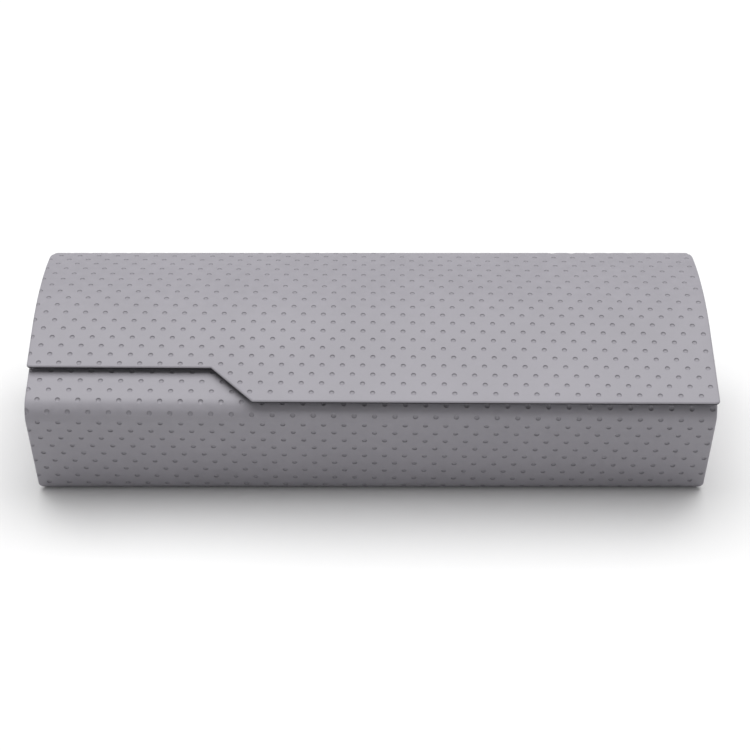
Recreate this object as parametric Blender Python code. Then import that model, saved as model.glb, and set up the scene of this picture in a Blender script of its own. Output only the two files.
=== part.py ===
"""Hard eyeglasses case with a magnetic flap lid.

The case is wrapped along one line. Seen from the left end, that line starts at the front edge
of the flap, runs back over the lid, round the leather hinge, down the rear wall, under the base,
up the front wall, round the front roll, and ends at the rear edge of the shelf under the flap.
Every sheet of the case (outer leather, steel core, lining) is a stretch of this line, at its own
depth below the outer surface. Two flat panels close the ends.

Frame: +X to the right end, -Y to the front, +Z up. The origin is the centre of the base.
"""
import math

import bmesh
import bpy
from mathutils import Vector

# ---- driving dimensions, metres and degrees ----
TRAY_LENGTH = 0.1615
LID_LENGTH = 0.1620

PEAK_Y = 0.00545          # highest line of the lid
PEAK_Z = 0.0386
FLAP_SLOPE = 13.0         # flap and shelf rise towards the rear
LID_FRONT_RADIUS = 0.060
LID_REAR_RADIUS = 0.086
LID_REAR_SLOPE = 15.6
HINGE_RADIUS = 0.0022
REAR_LEAN = 15.0          # both long walls lean outwards
FRONT_LEAN = 15.4
BASE_FRONT_Y = -0.0222   # sharp corner of the base and the front wall
BASE_RADIUS = 0.0022
ROLL_RADIUS = 0.0045
FLAP_FRONT_Y = -0.0302
SHELF_EDGE_Y = -0.0080
FLAP_RISE = 0.0020        # outer face of the shelf to outer face of the flap

SHORT_EDGE = 0.0111       # the left part of the flap ends this far behind the long part
SHORT_EDGE_SKEW = 0.0003
LONG_EDGE_SKEW = 0.0007
STEP_START_X = -0.0376    # the slanted step between the two parts
STEP_END_X = -0.0275

COVER = 0.0005            # sheet thicknesses and the glue gap between them
SHELL = 0.0004
LINING = 0.0004
GAP = 0.0002
REST_GAP = 0.0003
FLAP_EDGE = 0.0012        # the lid's turned edge is leather alone, without the core
FLAP_EDGE_THICKNESS = 0.00095
HINGE_OVERLAP = 0.0010    # free leather beyond the rounded hinge corner, at each side

END_INSET = 0.0020        # end panels sit inside the ends of the tray
BASE_RECESS = 0.0013      # the base is shorter than the tray at each end
BASE_RECESS_HEIGHT = 0.0016
END_PLATE = 0.0005

MAGNET_LENGTH = 0.0200
MAGNET_WIDTH = 0.0060
MAGNET_THICKNESS = 0.0006
MAGNET_X = 0.0540
MAGNET_FROM_FRONT = 0.0173

CARD_THICKNESS = 0.0008
PAD_THICKNESS = 0.0025
PAD_EDGE_RADIUS = 0.0008
PAD_SIDE_GAP = 0.0008

ARC_STEP = 7.5            # degrees of turn in one facet of a tight bend
WIDE_ARC_STEP = 2.0       # the same, on the lid
WIDE_RADIUS = 0.020

# ---- depths below the outer surface ----
EDGE = COVER + GAP        # a core ends this far inside a turned leather edge
SHELL_TOP = COVER + GAP
SHELL_BOTTOM = SHELL_TOP + SHELL
LINING_TOP = SHELL_BOTTOM + GAP
LINING_BOTTOM = LINING_TOP + LINING
MAGNET_TOP = (SHELL_TOP + SHELL_BOTTOM - MAGNET_THICKNESS) / 2
MAGNET_BOTTOM = MAGNET_TOP + MAGNET_THICKNESS

# ---- places along X ----
TRAY_END = TRAY_LENGTH / 2
LID_END = LID_LENGTH / 2
END_COVER_X = TRAY_END - END_INSET
END_PLATE_X = END_COVER_X - COVER - GAP
END_LINING_X = END_PLATE_X - END_PLATE - GAP
END_FACE_X = END_LINING_X - LINING
LINED_END = END_FACE_X - GAP


# ---- the wrap line: straight and round pieces, each turning clockwise ----
def heading_vector(degrees):
    return Vector((math.cos(math.radians(degrees)), math.sin(math.radians(degrees))))


def inward(heading):
    """Unit vector from the outer surface into the case, beside a given heading."""
    return heading_vector(heading - 90)


def advance(point, heading, length, radius):
    """Point and heading after a length along a line (radius 0) or a clockwise arc."""
    if not radius:
        return point + heading_vector(heading) * length, heading
    turned = heading - math.degrees(length / radius)
    return point + inward(heading) * radius - inward(turned) * radius, turned


def arc(radius, turn):
    return radius * math.radians(turn), radius


def crossing(point_a, heading_a, point_b, heading_b):
    """Where two straight lines cross."""
    a = heading_vector(heading_a)
    b = heading_vector(heading_b)
    along = (point_b - point_a).cross(b) / a.cross(b)
    return point_a + a * along


def build_wrap():
    """List of (start length, length, start point, start heading, radius)."""
    peak = Vector((PEAK_Y, PEAK_Z))
    flap_bend = peak - Vector((math.sin(math.radians(FLAP_SLOPE)),
                               1 - math.cos(math.radians(FLAP_SLOPE)))) * LID_FRONT_RADIUS
    flap_length = (flap_bend.x - FLAP_FRONT_Y) / math.cos(math.radians(FLAP_SLOPE))
    start = flap_bend - heading_vector(FLAP_SLOPE) * flap_length

    down = -90 - REAR_LEAN
    up = 90 + FRONT_LEAN
    lid_rear = advance(peak, 0, *arc(LID_REAR_RADIUS, LID_REAR_SLOPE))
    hinge_turn = lid_rear[1] - down
    wall_top = advance(*lid_rear, *arc(HINGE_RADIUS, hinge_turn))[0]
    base_rear = crossing(wall_top, down, Vector((0, 0)), 180)
    base_front = Vector((BASE_FRONT_Y, 0))
    shelf_line = flap_bend + inward(FLAP_SLOPE) * FLAP_RISE
    roll_corner = crossing(base_front, up, shelf_line, FLAP_SLOPE)

    rear_turn = 90 - REAR_LEAN
    front_turn = 90 - FRONT_LEAN
    roll_turn = up - FLAP_SLOPE
    rear_trim = BASE_RADIUS * math.tan(math.radians(rear_turn / 2))
    front_trim = BASE_RADIUS * math.tan(math.radians(front_turn / 2))
    roll_trim = ROLL_RADIUS * math.tan(math.radians(roll_turn / 2))
    shelf_length = (SHELF_EDGE_Y - roll_corner.x) / math.cos(math.radians(FLAP_SLOPE))

    lengths = [
        (flap_length, 0),
        arc(LID_FRONT_RADIUS, FLAP_SLOPE),
        arc(LID_REAR_RADIUS, LID_REAR_SLOPE),
        arc(HINGE_RADIUS, hinge_turn),
        ((base_rear - wall_top).length - rear_trim, 0),
        arc(BASE_RADIUS, rear_turn),
        ((base_rear - base_front).length - rear_trim - front_trim, 0),
        arc(BASE_RADIUS, front_turn),
        ((roll_corner - base_front).length - front_trim - roll_trim, 0),
        arc(ROLL_RADIUS, roll_turn),
        (shelf_length - roll_trim, 0),
    ]
    pieces = []
    along = 0
    point = start
    heading = FLAP_SLOPE
    for length, radius in lengths:
        pieces.append((along, length, point, heading, radius))
        point, heading = advance(point, heading, length, radius)
        along += length
    return pieces


WRAP = build_wrap()
FLAP, LID_FRONT, LID_REAR, HINGE, REAR_WALL, REAR_BEND, BASE, FRONT_BEND, FRONT_WALL, ROLL, SHELF = WRAP
WRAP_END = SHELF[0] + SHELF[1]
LID_SHEET_END = HINGE[0] - HINGE_OVERLAP
TRAY_SHEET_START = REAR_WALL[0] + HINGE_OVERLAP


def wrap_point(along, depth):
    """(y, z) at a length along the wrap line and a depth below the outer surface."""
    piece = WRAP[0]
    for other in WRAP[1:]:
        if along > other[0] + 1e-9:
            piece = other
    point, heading = advance(piece[2], piece[3], along - piece[0], piece[4])
    return point + inward(heading) * depth


def stations(start, end):
    """Lengths between start and end where the facets of a bend begin and end."""
    found = [start, end]
    for first, length, _, _, radius in WRAP:
        found += [first, first + length]
        if radius:
            step = WIDE_ARC_STEP if radius > WIDE_RADIUS else ARC_STEP
            count = math.ceil(math.degrees(length / radius) / step)
            found += [first + length * k / count for k in range(1, count)]
    kept = []
    for along in sorted(found):
        inside = start - 1e-9 <= along <= end + 1e-9
        if inside and (not kept or along - kept[-1] > 1e-6):
            kept.append(along)
    return kept


def shelf_length_under(flap_length):
    """Length along the wrap line on the shelf, straight below a length along the flap."""
    edge = wrap_point(WRAP_END, 0) - wrap_point(0, FLAP_RISE)
    return WRAP_END - edge.length + flap_length


# ---- solids made of flat cells with their own depth ----
def solid(name, points, cells, place, material):
    """Closed solid from cells in a flat layout.

    points: (u, v) of each corner. cells: (corner indices, top depth, bottom depth).
    place: turns (u, v, depth) into a world position.
    """
    mesh = bpy.data.meshes.new(name)
    work = bmesh.new()
    made = {}

    def vertex(corner, depth):
        key = (corner, round(depth, 7))
        if key not in made:
            made[key] = work.verts.new(place(*points[corner], depth))
        return made[key]

    beside = {}
    levels = {}
    for corners, top, bottom in cells:
        for a, b in zip(corners, corners[1:] + corners[:1]):
            beside[(a, b)] = (top, bottom)
            levels.setdefault(a, set()).update((top, bottom))
    for corners, top, bottom in cells:
        work.faces.new([vertex(c, top) for c in corners])
        work.faces.new([vertex(c, bottom) for c in reversed(corners)])
        for a, b in zip(corners, corners[1:] + corners[:1]):
            floor = beside.get((b, a), (top, top))[1]
            if bottom > floor + 1e-9:
                down = [vertex(b, d) for d in sorted(levels[b]) if floor <= d <= bottom]
                back = [vertex(a, d) for d in sorted(levels[a]) if floor <= d <= bottom]
                work.faces.new(down + back[::-1])
    bmesh.ops.recalc_face_normals(work, faces=work.faces)
    work.to_mesh(mesh)
    work.free()
    obj = bpy.data.objects.new(name, mesh)
    bpy.context.scene.collection.objects.link(obj)
    mesh.materials.append(material)
    mesh.shade_smooth()
    mesh.set_sharp_from_angle(angle=math.radians(30))
    return obj


def on_wrap(x, along, depth):
    y, z = wrap_point(along, depth)
    return (x, y, z)


def on_tray(x, along, depth):
    """As on_wrap, but drawn in at the ends of the base, which rounds the lower corners."""
    below = max(0.0, 1 - wrap_point(along, 0).y / BASE_RECESS_HEIGHT)
    return on_wrap(x - math.copysign(BASE_RECESS * below ** 2, x), along, depth)


def grid_cells(columns, rows, depth_of):
    """Points and cells of a grid; depth_of(column, row) gives (top, bottom), or None for a hole."""
    points = [(x, along) for along in rows for x in columns]
    cells = []
    for r in range(len(rows) - 1):
        for c in range(len(columns) - 1):
            depths = depth_of((columns[c] + columns[c + 1]) / 2, (rows[r] + rows[r + 1]) / 2)
            if depths:
                first = r * len(columns) + c
                above = first + len(columns)
                cells.append(([first, first + 1, above + 1, above], *depths))
    return points, cells


def wrap_sheet(name, half_length, start, end, top, bottom, material, holes=(), place=on_wrap):
    """A rectangular sheet of the tray, with rectangular holes (x, along, length, width)."""
    columns = {-half_length, half_length}
    rows = set(stations(start, end))
    for x, along, length, width in holes:
        columns |= {x - length / 2, x + length / 2}
        rows |= {along - width / 2, along + width / 2}

    def depth_of(x, along):
        for hole_x, hole_along, length, width in holes:
            if abs(x - hole_x) < length / 2 and abs(along - hole_along) < width / 2:
                return None
        return top, bottom

    points, cells = grid_cells(sorted(columns), sorted(rows), depth_of)
    return solid(name, points, cells, place, material)


# ---- lid sheets: the flap has a long right part, a slanted step and a short left part ----
def flap_corners(inset):
    """Corners of the cut edge of the flap, left to right, moved in from the cut by inset."""
    step = math.atan2(SHORT_EDGE - LONG_EDGE_SKEW, STEP_END_X - STEP_START_X)
    side_shift = inset * math.tan(step / 2)
    return [
        (-LID_END + inset, SHORT_EDGE + SHORT_EDGE_SKEW + inset),
        (STEP_START_X + side_shift, SHORT_EDGE + inset),
        (STEP_END_X + side_shift, LONG_EDGE_SKEW + inset),
        (LID_END - inset, inset),
    ]


def lid_outline(inset, rows):
    """Outline of a lid sheet, from the rear left corner, counter-clockwise seen from outside."""
    cut = flap_corners(inset)
    left_side = [(cut[0][0], along) for along in reversed(rows)]
    right_side = [(cut[-1][0], along) for along in rows]
    return left_side + cut + right_side


def lid_strips(first, count):
    """Cells inside an outline that starts at a corner index: the flat flap, then each facet."""
    left_side = [first + count - 1 - k for k in range(count)]
    cut = [first + count + k for k in range(4)]
    right_side = [first + count + 4 + k for k in range(count)]
    strips = [[left_side[0], *cut, right_side[0]]]
    for k in range(count - 1):
        strips.append([left_side[k + 1], left_side[k], right_side[k], right_side[k + 1]])
    return strips


def lid_sheet(name, inset, end, top, bottom, material, holes=()):
    """A plain sheet of the lid, inset from the cut edges, with rectangular holes in the flap."""
    rows = stations(LID_FRONT[0], end)
    cells = [(strip, top, bottom) for strip in lid_strips(0, len(rows))]
    sheet = solid(name, lid_outline(inset, rows), cells, on_wrap, material)
    for hole in holes:
        cut_flap_hole(sheet, *hole)
    return sheet


def lid_cover(material):
    """Outer leather of the lid, doubled to a thin edge along the cut."""
    rows = stations(LID_FRONT[0], LID_SHEET_END)
    outer = lid_outline(0, rows)
    inner = lid_outline(FLAP_EDGE, rows)
    shift = len(outer)
    cells = [(strip, 0, COVER) for strip in lid_strips(shift, len(rows))]
    for k in range(shift - 1):
        cells.append(([k, k + 1, shift + k + 1, shift + k], 0, FLAP_EDGE_THICKNESS))
    return solid("lid_cover", outer + inner, cells, on_wrap, material)


def flap_block(name, x, along, length, width, top, bottom, material):
    """A rectangular block let into the flat flap or shelf."""
    columns = [x - length / 2, x + length / 2]
    rows = [along - width / 2, along + width / 2]
    points, cells = grid_cells(columns, rows, lambda *_: (top, bottom))
    return solid(name, points, cells, on_wrap, material)


def cut_flap_hole(sheet, x, along, length, width):
    cutter = flap_block(f"{sheet.name}_cutter", x, along, length, width,
                        SHELL_TOP - GAP / 2, SHELL_BOTTOM + GAP / 2, sheet.data.materials[0])
    cutter.hide_render = True
    cutter.display_type = "WIRE"
    cut = sheet.modifiers.new("magnet hole", "BOOLEAN")
    cut.operation = "DIFFERENCE"
    cut.solver = "EXACT"
    cut.object = cutter


# ---- end panels ----
def rear_top_corner(top):
    """Where the arched top edge of an end panel, at a depth under the lid, meets the rear wall."""
    centre = Vector((PEAK_Y, PEAK_Z - LID_REAR_RADIUS))
    radius = LID_REAR_RADIUS - top
    on_wall = wrap_point(REAR_WALL[0], LINING_TOP)
    direction = heading_vector(REAR_WALL[3])
    offset = on_wall - centre
    half = offset.dot(direction)
    along = -half - math.sqrt(half * half - offset.dot(offset) + radius * radius)
    return on_wall + direction * along


def end_lower_edge():
    """Edge of an end panel inside the tray, from the rear bend round to the shelf."""
    edge = [wrap_point(along, LINING_TOP) for along in stations(REAR_BEND[0], WRAP_END)]
    edge[-1] += heading_vector(FLAP_SLOPE) * REST_GAP
    return edge


def end_top_edge(top):
    """Arched edge of an end panel, at a depth under the lid, from the shelf to the rear wall."""
    foot = wrap_point(WRAP_END, 0) + heading_vector(FLAP_SLOPE) * REST_GAP
    first = (foot - wrap_point(0, FLAP_RISE)).length
    return [wrap_point(along, top) for along in stations(first, HINGE[0])] + [rear_top_corner(top)]


def on_end(side, outer_x):
    """Place for a panel that faces out along X; side is -1 for the left end, 1 for the right."""
    return lambda y, z, depth: (side * (outer_x - depth), y, z)


def end_panel(name, side, outer_x, top, thickness, material):
    """A flat panel that closes one end of the tray."""
    points = [tuple(p) for p in end_lower_edge() + end_top_edge(top)]
    cells = [(list(range(len(points))), 0, thickness)]
    return solid(name, points, cells, on_end(side, outer_x), material)


def end_cover(name, side, material):
    """Leather of an end panel, folded over the arched top edge of its plate and lining."""
    lower = end_lower_edge()
    fold = end_top_edge(FLAP_RISE + COVER)
    crest = end_top_edge(FLAP_RISE)
    points = [tuple(p) for p in lower + fold + crest]
    first = len(lower)
    second = first + len(fold)
    cells = [(list(range(second)), 0, COVER)]
    for k in range(len(fold) - 1):
        corners = [first + k + 1, first + k, second + k, second + k + 1]
        cells.append((corners, 0, END_COVER_X - END_FACE_X))
    return solid(name, points, cells, on_end(side, END_COVER_X), material)


# ---- floor ----
def floor_block(name, bottom, thickness, edge_radius, material):
    """A flat block on the lined base, clear of the leaning walls."""
    low = wrap_point(FRONT_BEND[0], LINING_BOTTOM).x - PAD_SIDE_GAP / 2
    high = wrap_point(BASE[0], LINING_BOTTOM).x + PAD_SIDE_GAP / 2
    half = LINED_END - PAD_SIDE_GAP / 2
    points = [(-half, low), (half, low), (half, high), (-half, high)]
    cells = [([0, 1, 2, 3], 0, thickness)]
    block = solid(name, points, cells, lambda x, y, depth: (x, y, bottom + thickness - depth),
                  material)
    if edge_radius:
        rounding = block.modifiers.new("soft edge", "BEVEL")
        rounding.width = edge_radius
        rounding.segments = 3
        rounding.limit_method = "ANGLE"
    return block


# ---- materials ----
def make_material(name, color, roughness, metallic):
    material = bpy.data.materials.new(name)
    material.use_nodes = True
    shader = material.node_tree.nodes["Principled BSDF"]
    shader.inputs["Base Color"].default_value = (*color, 1)
    shader.inputs["Roughness"].default_value = roughness
    shader.inputs["Metallic"].default_value = metallic
    return material


def leather(name):
    return make_material(name, (0.40, 0.39, 0.41), 0.55, 0.0)


def flannel(name):
    return make_material(name, (0.06, 0.06, 0.07), 0.95, 0.0)


def steel(name):
    return make_material(name, (0.55, 0.56, 0.58), 0.35, 1.0)


def magnet(name):
    return make_material(name, (0.72, 0.72, 0.74), 0.25, 1.0)


def magnet_holes(along):
    """The two punched holes of a core sheet: (x, along, length, width)."""
    length = MAGNET_LENGTH + 2 * GAP
    width = MAGNET_WIDTH + 2 * GAP
    return [(x, along, length, width) for x in (-MAGNET_X, MAGNET_X)]


def magnet_pair(name, along):
    """Two bar magnets let into the holes of a core sheet."""
    for side, x in (("left", -MAGNET_X), ("right", MAGNET_X)):
        full_name = f"{name}_{side}"
        flap_block(full_name, x, along, MAGNET_LENGTH, MAGNET_WIDTH, MAGNET_TOP, MAGNET_BOTTOM,
                   magnet(full_name))


def build_tray():
    magnet_along = shelf_length_under(MAGNET_FROM_FRONT)
    tray_cover(leather("tray_cover"))
    wrap_sheet("tray_shell", TRAY_END - EDGE, TRAY_SHEET_START + GAP, WRAP_END - EDGE,
               SHELL_TOP, SHELL_BOTTOM, steel("tray_shell"), magnet_holes(magnet_along), on_tray)
    wrap_sheet("tray_lining", LINED_END, TRAY_SHEET_START + HINGE_OVERLAP + GAP,
               WRAP_END - REST_GAP, LINING_TOP, LINING_BOTTOM, flannel("tray_lining"))
    magnet_pair("shelf_magnet", magnet_along)
    plate_top = FLAP_RISE + EDGE
    for side, sign in (("left", -1), ("right", 1)):
        end_cover(f"end_cover_{side}", sign, leather(f"end_cover_{side}"))
        end_panel(f"end_plate_{side}", sign, END_PLATE_X, plate_top, END_PLATE,
                  steel(f"end_plate_{side}"))
        end_panel(f"end_lining_{side}", sign, END_LINING_X, plate_top, LINING,
                  flannel(f"end_lining_{side}"))
    card_bottom = LINING_BOTTOM + GAP
    floor_block("floor_card", card_bottom, CARD_THICKNESS, 0,
                make_material("floor_card", (0.45, 0.38, 0.28), 0.9, 0.0))
    floor_block("floor_pad", card_bottom + CARD_THICKNESS + GAP, PAD_THICKNESS, PAD_EDGE_RADIUS,
                flannel("floor_pad"))


def tray_cover(material):
    """Outer leather of the tray, turned in over the ends and the shelf edge of the core."""
    inner_end = TRAY_END - COVER
    inner_edge = WRAP_END - COVER
    columns = [-TRAY_END, -inner_end, inner_end, TRAY_END]
    rows = sorted(set(stations(TRAY_SHEET_START, WRAP_END)) | {inner_edge})

    def depth_of(x, along):
        turned_in = abs(x) > inner_end or along > inner_edge
        return 0, SHELL_BOTTOM if turned_in else COVER

    points, cells = grid_cells(columns, rows, depth_of)
    return solid("tray_cover", points, cells, on_tray, material)


def build_lid():
    lid_cover(leather("lid_cover"))
    inset = FLAP_EDGE + GAP
    lid_sheet("lid_shell", inset, LID_SHEET_END - GAP, SHELL_TOP, SHELL_BOTTOM,
              steel("lid_shell"), magnet_holes(MAGNET_FROM_FRONT))
    lid_sheet("lid_lining", inset, LID_SHEET_END - HINGE_OVERLAP - GAP, LINING_TOP, LINING_BOTTOM,
              flannel("lid_lining"))
    magnet_pair("flap_magnet", MAGNET_FROM_FRONT)


def build_hinge():
    """The leather and the lining run on from lid to tray round the rear corner."""
    wrap_sheet("hinge_leather", TRAY_END, LID_SHEET_END + GAP, TRAY_SHEET_START - GAP, 0, COVER,
               leather("hinge_leather"))
    wrap_sheet("hinge_lining", LINED_END, LID_SHEET_END - HINGE_OVERLAP + GAP / 2,
               TRAY_SHEET_START + HINGE_OVERLAP, LINING_TOP, LINING_BOTTOM,
               flannel("hinge_lining"))


def hinge_axis():
    """Middle of the rounded leather corner, halfway through the leather."""
    return wrap_point(HINGE[0] + HINGE[1] / 2, COVER / 2)


def hang_lid():
    """Every piece of the lid hangs on an empty on the hinge axis."""
    y, z = hinge_axis()
    pivot = bpy.data.objects.new("lid_hinge", None)
    pivot.location = (0, y, z)
    bpy.context.scene.collection.objects.link(pivot)
    bpy.context.view_layer.update()
    for obj in list(bpy.data.objects):
        if obj.name.startswith(("lid_cover", "lid_shell", "lid_lining", "flap_magnet")):
            obj.parent = pivot
            obj.matrix_parent_inverse = pivot.matrix_world.inverted()


def main():
    for old in list(bpy.data.objects):
        bpy.data.objects.remove(old, do_unlink=True)
    build_tray()
    build_lid()
    build_hinge()
    hang_lid()


main()
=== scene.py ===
"""Looks of the hard eyeglasses case: embossed leather, flannel lining, steel, camera and light.

The leather and the lining are sheets on one wrap line. Seen from the left end, it starts at the
front edge of the flap, runs back over the lid, round the hinge, down the rear wall, under the
base, up the front wall, round the front roll and along the shelf under the flap. A place on a
sheet is (x, length along that line, depth below the outer surface). All lengths are in metres.
"""
import math

import bmesh
import bpy
import numpy as np
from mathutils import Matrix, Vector, geometry, kdtree


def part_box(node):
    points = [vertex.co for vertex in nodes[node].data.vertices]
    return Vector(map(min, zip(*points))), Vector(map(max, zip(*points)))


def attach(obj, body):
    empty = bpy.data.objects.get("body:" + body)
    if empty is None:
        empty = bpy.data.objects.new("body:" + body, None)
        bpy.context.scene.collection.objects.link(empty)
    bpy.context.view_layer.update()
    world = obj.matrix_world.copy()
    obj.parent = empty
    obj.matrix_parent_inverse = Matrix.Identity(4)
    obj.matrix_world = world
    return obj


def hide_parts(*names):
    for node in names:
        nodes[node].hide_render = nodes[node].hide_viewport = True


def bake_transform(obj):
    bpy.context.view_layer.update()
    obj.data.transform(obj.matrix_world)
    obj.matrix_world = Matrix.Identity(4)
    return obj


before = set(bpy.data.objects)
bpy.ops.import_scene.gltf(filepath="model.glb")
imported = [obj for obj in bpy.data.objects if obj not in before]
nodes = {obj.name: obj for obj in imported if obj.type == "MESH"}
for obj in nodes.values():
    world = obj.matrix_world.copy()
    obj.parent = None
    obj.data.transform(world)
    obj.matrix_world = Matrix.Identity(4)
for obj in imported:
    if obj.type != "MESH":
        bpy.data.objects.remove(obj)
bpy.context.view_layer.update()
MM = 0.001

# ---- camera ----
camera_data = bpy.data.cameras.new("camera")
camera_data.sensor_width = 36.0
camera_data.lens = 100.5
camera_data.clip_start = 0.01
camera_data.clip_end = 20.0
camera = bpy.data.objects.new("camera", camera_data)
camera.location = (0.00096, -0.418295, 0.3220)
camera.rotation_euler = (math.radians(54.0), 0.0, 0.0)
bpy.context.scene.collection.objects.link(camera)
bpy.context.scene.camera = camera

# ---- the case, as in the model ----
TRAY_END = 0.08075
LID_END = 0.0810
PEAK = Vector((0.00545, 0.0386))
FLAP_SLOPE = 13.0
LID_FRONT_RADIUS = 0.060
LID_REAR_RADIUS = 0.086
LID_REAR_SLOPE = 15.6
HINGE_RADIUS = 0.0022
REAR_LEAN = 15.0
FRONT_LEAN = 15.4
BASE_FRONT_Y = -0.0222
BASE_RADIUS = 0.0022
ROLL_RADIUS = 0.0045
FLAP_FRONT_Y = -0.0302
SHELF_EDGE_Y = -0.0080
FLAP_RISE = 0.0020
SHORT_EDGE = 0.0111
SHORT_EDGE_SKEW = 0.0003
LONG_EDGE_SKEW = 0.0007
STEP_START_X = -0.0376
STEP_END_X = -0.0275
COVER = 0.0005
LINING_TOP = 0.0013
LINING_BOTTOM = 0.0017
HINGE_OVERLAP = 0.0010
END_COVER_X = 0.07875
END_FACE_X = 0.07695
REST_GAP = 0.0003


# ---- the wrap line ----
def heading_vector(degrees):
    return Vector((math.cos(math.radians(degrees)), math.sin(math.radians(degrees))))


def inward(heading):
    """Unit vector from the outer surface into the case, beside a given heading."""
    return heading_vector(heading - 90)


def advance(point, heading, length, radius):
    """Point and heading after a length along a line (radius 0) or a clockwise arc."""
    if not radius:
        return point + heading_vector(heading) * length, heading
    turned = heading - math.degrees(length / radius)
    return point + inward(heading) * radius - inward(turned) * radius, turned


def arc(radius, turn):
    return radius * math.radians(turn), radius


def crossing(point_a, heading_a, point_b, heading_b):
    """Where two straight lines cross."""
    a = heading_vector(heading_a)
    b = heading_vector(heading_b)
    return point_a + a * ((point_b - point_a).cross(b) / a.cross(b))


def build_wrap():
    """List of (start length, length, start point, start heading, radius)."""
    flap_bend = PEAK - Vector((math.sin(math.radians(FLAP_SLOPE)),
                               1 - math.cos(math.radians(FLAP_SLOPE)))) * LID_FRONT_RADIUS
    flap_length = (flap_bend.x - FLAP_FRONT_Y) / math.cos(math.radians(FLAP_SLOPE))
    start = flap_bend - heading_vector(FLAP_SLOPE) * flap_length
    down = -90 - REAR_LEAN
    up = 90 + FRONT_LEAN
    lid_rear = advance(PEAK, 0, *arc(LID_REAR_RADIUS, LID_REAR_SLOPE))
    hinge_turn = lid_rear[1] - down
    wall_top = advance(*lid_rear, *arc(HINGE_RADIUS, hinge_turn))[0]
    base_rear = crossing(wall_top, down, Vector((0, 0)), 180)
    base_front = Vector((BASE_FRONT_Y, 0))
    shelf_line = flap_bend + inward(FLAP_SLOPE) * FLAP_RISE
    roll_corner = crossing(base_front, up, shelf_line, FLAP_SLOPE)
    roll_turn = up - FLAP_SLOPE
    rear_trim = BASE_RADIUS * math.tan(math.radians((90 - REAR_LEAN) / 2))
    front_trim = BASE_RADIUS * math.tan(math.radians((90 - FRONT_LEAN) / 2))
    roll_trim = ROLL_RADIUS * math.tan(math.radians(roll_turn / 2))
    shelf_length = (SHELF_EDGE_Y - roll_corner.x) / math.cos(math.radians(FLAP_SLOPE))
    lengths = [
        (flap_length, 0),
        arc(LID_FRONT_RADIUS, FLAP_SLOPE),
        arc(LID_REAR_RADIUS, LID_REAR_SLOPE),
        arc(HINGE_RADIUS, hinge_turn),
        ((base_rear - wall_top).length - rear_trim, 0),
        arc(BASE_RADIUS, 90 - REAR_LEAN),
        ((base_rear - base_front).length - rear_trim - front_trim, 0),
        arc(BASE_RADIUS, 90 - FRONT_LEAN),
        ((roll_corner - base_front).length - front_trim - roll_trim, 0),
        arc(ROLL_RADIUS, roll_turn),
        (shelf_length - roll_trim, 0),
    ]
    made = []
    along = 0
    point = start
    heading = FLAP_SLOPE
    for length, radius in lengths:
        made.append((along, length, point, heading, radius))
        point, heading = advance(point, heading, length, radius)
        along += length
    return made


WRAP = build_wrap()
HINGE, REAR_WALL, REAR_BEND, BASE, FRONT_BEND, FRONT_WALL, ROLL, SHELF = WRAP[3:]
WRAP_END = SHELF[0] + SHELF[1]
LID_SHEET_END = HINGE[0] - HINGE_OVERLAP
TRAY_SHEET_START = REAR_WALL[0] + HINGE_OVERLAP
HINGE_MIDDLE = HINGE[0] + HINGE[1] / 2


def wrap(along, depth):
    """Arrays of y and z at lengths along the wrap line and depths below the outer surface."""
    along, depth = np.broadcast_arrays(np.asarray(along, float), np.asarray(depth, float))
    y = np.zeros(along.shape)
    z = np.zeros(along.shape)
    for first, _, point, heading, radius in WRAP:
        here = along >= first - 1e-9 if first else np.ones(along.shape, bool)
        past = along[here] - first
        if radius:
            turned = np.radians(heading - 90) - past / radius
            centre = point + inward(heading) * radius
            y[here] = centre.x - np.cos(turned) * (radius - depth[here])
            z[here] = centre.y - np.sin(turned) * (radius - depth[here])
        else:
            y[here] = point.x + heading_vector(heading).x * past + inward(heading).x * depth[here]
            z[here] = point.y + heading_vector(heading).y * past + inward(heading).y * depth[here]
    return y, z


def smooth(t):
    t = np.clip(t, 0, 1)
    return t * t * (3 - 2 * t)


RECESS_BAND = 0.0019      # the corners are drawn in along X over this width at the ends
BASE_RECESS = 0.0014
BASE_RECESS_HEIGHT = 0.0019
HINGE_RECESS = 0.0009
HINGE_RECESS_REACH = 0.0042


def on_wrap(x, along, depth):
    """World positions on the wrap, with the lower corners and the hinge corners rounded."""
    y, z = wrap(along, depth)
    below = np.clip(1 - wrap(along, 0)[1] / BASE_RECESS_HEIGHT, 0, 1)
    near_hinge = smooth(1 - np.abs(along - HINGE_MIDDLE) / HINGE_RECESS_REACH)
    recess = BASE_RECESS * below ** 2 + HINGE_RECESS * near_hinge
    band = smooth(1 + (np.abs(x) - TRAY_END) / RECESS_BAND)
    return np.stack([x - np.sign(x) * recess * band, y, z], 1)


def on_end(side, face_x):
    """World positions on an end panel that faces out; its sheet is laid out in (y, z)."""
    return lambda y, z, depth: np.stack([side * (face_x - depth), y, z], 1)


# ---- the embossed dimples: staggered rows of small round discs ----
DOT_PITCH = 0.00477
ROW_PITCH = 0.00282
FRONT_ROW_PITCH = 0.00296  # the leather is stretched a little over the front
FIRST_ROW = 0.03422
FRONT_ROWS_FROM = 38
DOT_PHASE = 0.0028
DOT_DRIFT = 0.0026        # shift along X for each unit of length along the wrap
LID_TILT = 0.0125         # slope of the rows over the lid
TRAY_TILT_EXTRA = 0.0028  # added by degrees from the hinge to the front wall
TILT_FROM_ROW = 8
TILT_ROWS = 31
LID_BOW = 0.00048         # the rows over the middle of the lid lie a little further forward
LID_BOW_ROW = -1
LID_BOW_ROWS = 7
DOT_RIM = 0.00062
DOT_FLOOR = 0.00050
DOT_DEPTH = 0.00020
DOT_RINGS = (0.00072, DOT_RIM, 0.00056, DOT_FLOOR)


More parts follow.
